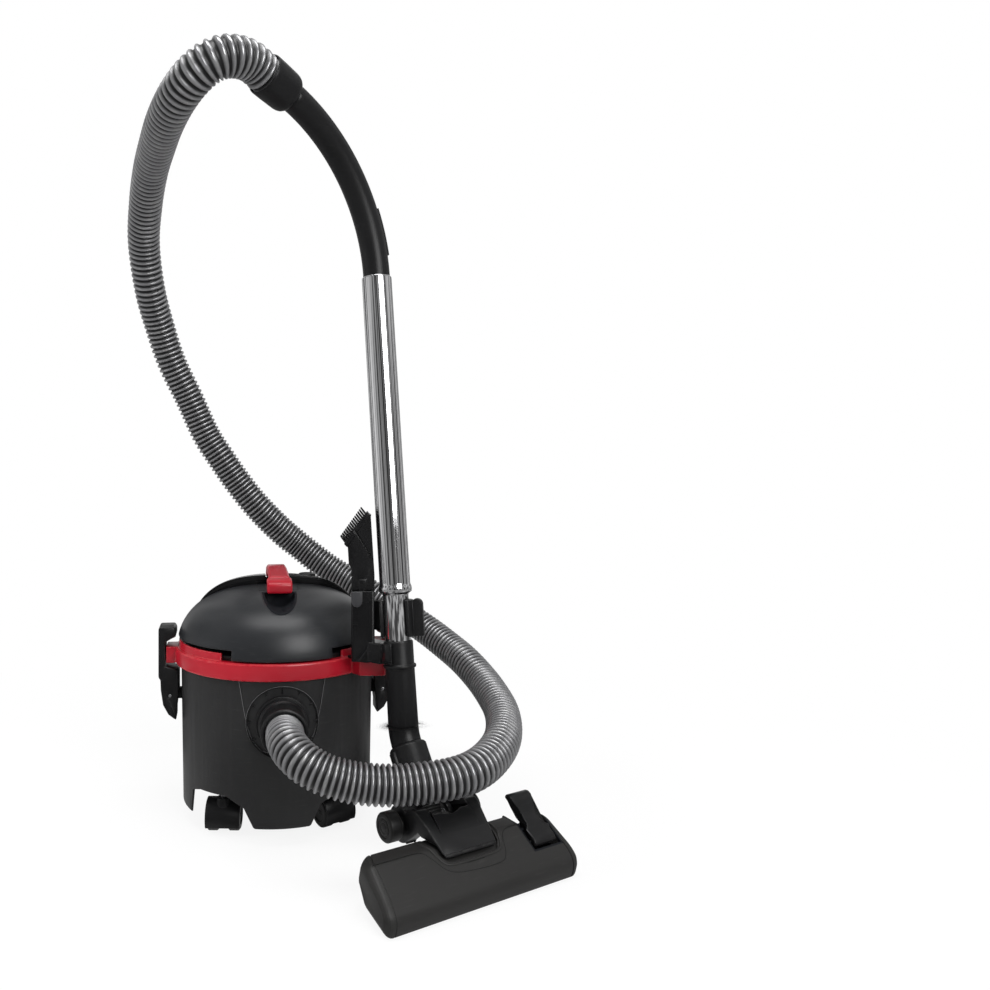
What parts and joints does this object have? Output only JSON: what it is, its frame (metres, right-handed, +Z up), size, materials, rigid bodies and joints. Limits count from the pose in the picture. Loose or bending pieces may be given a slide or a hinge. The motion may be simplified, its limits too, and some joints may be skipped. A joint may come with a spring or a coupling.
{
  "type": "tub vacuum cleaner",
  "caption": "Commercial tub vacuum cleaner on casters with a lift-off motor lid, ribbed hose, bent handle, chrome wand parked in a rim bracket, and a hinged floor tool.",
  "frame": {"origin": "centre of the bounding box, hose left out, at floor level", "axes": "+Z up, the tub faces -Y, the parked wand stands at +X -Y"},
  "size_m": [0.5417, 0.599, 0.9452],
  "materials": {
    "tub_grey": "satin",
    "red_plastic": "satin",
    "black_plastic": "satin",
    "rubber_black": "matte",
    "wheel_black": "satin",
    "steel": "brushed",
    "wand_chrome": "polished",
    "hose_grey": "semi-gloss",
    "bag_cloth": "matte",
    "card": "matte",
    "filter_white": "matte",
    "bristle": "matte",
    "cast_metal": "cast"
  },
  "bodies": {
    "tub": {"tub_shell": "tub_grey", "red_band": "red_plastic", "inlet_dial": "black_plastic", "inlet_socket": "black_plastic", "inlet_seal": "rubber_black", "latch_pins": "steel", "stem_bushes": "black_plastic", "dust_bag": "bag_cloth", "bag_card": "card", "filter_frame": "black_plastic", "filter_media": "filter_white", "hose": "hose_grey", "handle_cuff": "black_plastic", "handle_tube": "black_plastic", "wand_tube": "wand_chrome", "tool_holder": "black_plastic", "wand_clip": "black_plastic", "neck_tube": "black_plastic"},
    "lid": {"lid_base": "black_plastic", "lid_gasket": "rubber_black", "fan_housing": "cast_metal", "motor": "cast_metal", "lid_dome": "tub_grey", "rear_hood": "black_plastic", "exhaust_grille": "tub_grey", "grip": "red_plastic", "grip_well": "black_plastic", "cord_gland": "black_plastic"},
    "impeller": {"impeller": "cast_metal"},
    "switch": {"switch_button": "black_plastic"},
    "latch_l": {"latch_left": "black_plastic"},
    "latch_r": {"latch_right": "black_plastic"},
    "cuff": {"inlet_cuff": "black_plastic"},
    "slider": {"suction_slider": "black_plastic"},
    "tool": {"combi_tool": "black_plastic", "combi_bristles": "bristle"},
    "leg": {"sleeve": "black_plastic", "bellows": "rubber_black"},
    "head": {"stub_axles": "steel", "yoke_plate": "black_plastic", "head_cover": "tub_grey", "head_caps": "tub_grey", "head_sole": "black_plastic", "pedal_well": "black_plastic"},
    "roller_l": {"roller_left": "wheel_black"},
    "roller_r": {"roller_right": "wheel_black"},
    "pedal_rocker": {"pedal": "black_plastic"},
    "brush": {"brush_strips": "bristle"},
    "caster_fl": {"caster_stem_fl": "steel", "caster_hood_fl": "black_plastic"},
    "wheels_fl": {"twin_wheel_fl": "wheel_black"},
    "caster_fr": {"caster_stem_fr": "steel", "caster_hood_fr": "black_plastic"},
    "wheels_fr": {"twin_wheel_fr": "wheel_black"},
    "caster_bl": {"caster_stem_bl": "steel", "caster_hood_bl": "black_plastic"},
    "wheels_bl": {"twin_wheel_bl": "wheel_black"},
    "caster_br": {"caster_stem_br": "steel", "caster_hood_br": "black_plastic"},
    "wheels_br": {"twin_wheel_br": "wheel_black"}
  },
  "joints": [
    {"name": "lid_lift", "type": "slide", "parent": "tub", "child": "lid", "axis": [0, 0, 1], "range_m": [0, 0.12]},
    {"name": "latch_right_swing", "type": "hinge", "parent": "tub", "child": "latch_r", "pos_m": [0.0555, 0.1075, 0.161], "axis": [0, 1, 0], "range_deg": [0, 10]},
    {"name": "latch_left_swing", "type": "hinge", "parent": "tub", "child": "latch_l", "pos_m": [-0.2305, 0.1075, 0.161], "axis": [0, -1, 0], "range_deg": [0, 10]},
    {"name": "cuff_turn", "type": "hinge", "parent": "tub", "child": "cuff", "pos_m": [-0.0875, -0.0215, 0.153], "axis": [0, -1, 0], "continuous": true},
    {"name": "swivel_fl", "type": "hinge", "parent": "tub", "child": "caster_fl", "pos_m": [-0.1595, 0.0355, 0.019], "axis": [0, 0, 1], "continuous": true},
    {"name": "roll_fl", "type": "hinge", "parent": "caster_fl", "child": "wheels_fl", "pos_m": [-0.15825, 0.0434, 0.019], "axis": [-0.9877, 0.1564, 0], "continuous": true},
    {"name": "swivel_fr", "type": "hinge", "parent": "tub", "child": "caster_fr", "pos_m": [-0.0155, 0.0355, 0.019], "axis": [0, 0, 1], "continuous": true},
    {"name": "roll_fr", "type": "hinge", "parent": "caster_fr", "child": "wheels_fr", "pos_m": [-0.01913, 0.04263, 0.019], "axis": [-0.891, -0.454, 0], "continuous": true},
    {"name": "swivel_bl", "type": "hinge", "parent": "tub", "child": "caster_bl", "pos_m": [-0.1595, 0.1795, 0.019], "axis": [0, 0, 1], "continuous": true},
    {"name": "roll_bl", "type": "hinge", "parent": "caster_bl", "child": "wheels_bl", "pos_m": [-0.15587, 0.18663, 0.019], "axis": [-0.891, 0.454, 0], "continuous": true},
    {"name": "swivel_br", "type": "hinge", "parent": "tub", "child": "caster_br", "pos_m": [-0.0155, 0.1795, 0.019], "axis": [0, 0, 1], "continuous": true},
    {"name": "roll_br", "type": "hinge", "parent": "caster_br", "child": "wheels_br", "pos_m": [-0.01675, 0.1874, 0.019], "axis": [-0.9877, -0.1564, 0], "continuous": true},
    {"name": "impeller_spin", "type": "hinge", "parent": "lid", "child": "impeller", "pos_m": [-0.0875, 0.1075, 0.24], "axis": [0, 0, 1], "continuous": true},
    {"name": "switch_press", "type": "slide", "parent": "lid", "child": "switch", "axis": [0, 0, -1], "range_m": [0, 0.003], "stiffness_N_per_m": 600},
    {"name": "slider_slide", "type": "hinge", "parent": "tub", "child": "slider", "pos_m": [-0.11466, -0.12676, 0.71241], "axis": [0.67, -0.7355, 0.1006], "range_deg": [0, 3.5]},
    {"name": "tool_lift", "type": "slide", "parent": "tub", "child": "tool", "axis": [0, 0, 1], "range_m": [0, 0.08]},
    {"name": "head_swivel", "type": "hinge", "parent": "tub", "child": "leg", "pos_m": [0.05826, -0.04749, 0.14006], "axis": [-0.223, 0.4953, 0.8396], "range_deg": [-15, 15]},
    {"name": "head_pitch", "type": "hinge", "parent": "leg", "child": "head", "pos_m": [0.07951, -0.09469, 0.06005], "axis": [0.9118, 0.4106, 0], "range_deg": [-3, 18]},
    {"name": "roller_spin_l", "type": "hinge", "parent": "head", "child": "roller_l", "pos_m": [0.02845, -0.11768, 0.06005], "axis": [0.9118, 0.4106, 0], "continuous": true},
    {"name": "roller_spin_r", "type": "hinge", "parent": "head", "child": "roller_r", "pos_m": [0.13057, -0.0717, 0.06005], "axis": [0.9118, 0.4106, 0], "continuous": true},
    {"name": "pedal_rock", "type": "hinge", "parent": "head", "child": "pedal_rocker", "pos_m": [0.19601, -0.11231, 0.0475], "axis": [-0.9118, -0.4106, 0], "range_deg": [0, 10]},
    {"name": "brush_drop", "type": "slide", "parent": "head", "child": "brush", "axis": [-0.089, 0.1976, -0.9762], "range_m": [0, 0.0045]}
  ],
  "couplings": [
    {"joint": "brush_drop", "follows": "pedal_rock", "m_per_rad": 0.0257}
  ]
}
